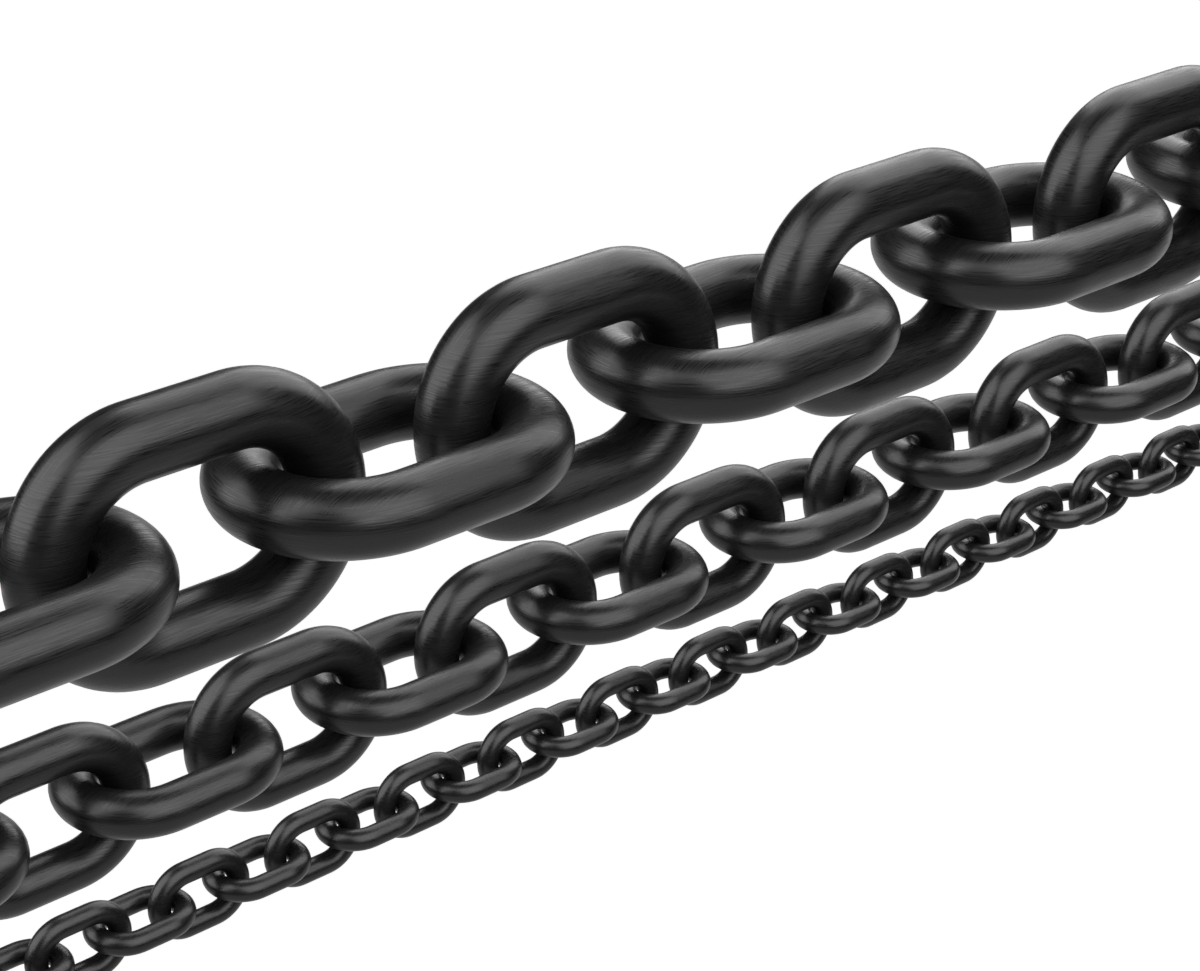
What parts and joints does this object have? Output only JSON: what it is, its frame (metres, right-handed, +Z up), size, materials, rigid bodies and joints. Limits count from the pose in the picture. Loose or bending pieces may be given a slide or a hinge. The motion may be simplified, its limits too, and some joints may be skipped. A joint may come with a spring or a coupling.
{
  "type": "iron chain",
  "caption": "Straight lengths of short-link welded iron chain in three gauges, lying side by side with their links leaning 45 degrees.",
  "frame": {"origin": "on the floor, under the middle of the bounding box of all three lengths", "axes": "+X along the chains, +Y across them towards the large chain, +Z up from the floor"},
  "size_m": [1.0424, 0.2022, 0.1006],
  "materials": {
    "large_chain_steel": "black, brushed along the chain",
    "medium_chain_steel": "black, brushed along the chain",
    "small_chain_steel": "black, brushed along the chain"
  },
  "bodies": {
    "root": {"large_link_01": "large_chain_steel", "large_link_02": "large_chain_steel", "large_link_03": "large_chain_steel", "large_link_04": "large_chain_steel", "large_link_05": "large_chain_steel", "large_link_06": "large_chain_steel", "large_link_07": "large_chain_steel", "large_link_08": "large_chain_steel", "large_link_09": "large_chain_steel", "medium_link_01": "medium_chain_steel", "medium_link_02": "medium_chain_steel", "medium_link_03": "medium_chain_steel", "medium_link_04": "medium_chain_steel", "medium_link_05": "medium_chain_steel", "medium_link_06": "medium_chain_steel", "medium_link_07": "medium_chain_steel", "medium_link_08": "medium_chain_steel", "medium_link_09": "medium_chain_steel", "medium_link_10": "medium_chain_steel", "medium_link_11": "medium_chain_steel", "medium_link_12": "medium_chain_steel", "medium_link_13": "medium_chain_steel", "medium_link_14": "medium_chain_steel", "medium_link_15": "medium_chain_steel", "medium_link_16": "medium_chain_steel", "small_link_01": "small_chain_steel", "small_link_02": "small_chain_steel", "small_link_03": "small_chain_steel", "small_link_04": "small_chain_steel", "small_link_05": "small_chain_steel", "small_link_06": "small_chain_steel", "small_link_07": "small_chain_steel", "small_link_08": "small_chain_steel", "small_link_09": "small_chain_steel", "small_link_10": "small_chain_steel", "small_link_11": "small_chain_steel", "small_link_12": "small_chain_steel", "small_link_13": "small_chain_steel", "small_link_14": "small_chain_steel", "small_link_15": "small_chain_steel", "small_link_16": "small_chain_steel", "small_link_17": "small_chain_steel", "small_link_18": "small_chain_steel", "small_link_19": "small_chain_steel", "small_link_20": "small_chain_steel", "small_link_21": "small_chain_steel", "small_link_22": "small_chain_steel", "small_link_23": "small_chain_steel", "small_link_24": "small_chain_steel", "small_link_25": "small_chain_steel", "small_link_26": "small_chain_steel", "small_link_27": "small_chain_steel", "small_link_28": "small_chain_steel", "small_link_29": "small_chain_steel", "small_link_30": "small_chain_steel", "small_link_31": "small_chain_steel", "small_link_32": "small_chain_steel", "small_link_33": "small_chain_steel", "small_link_34": "small_chain_steel"}
  },
  "joints": []
}
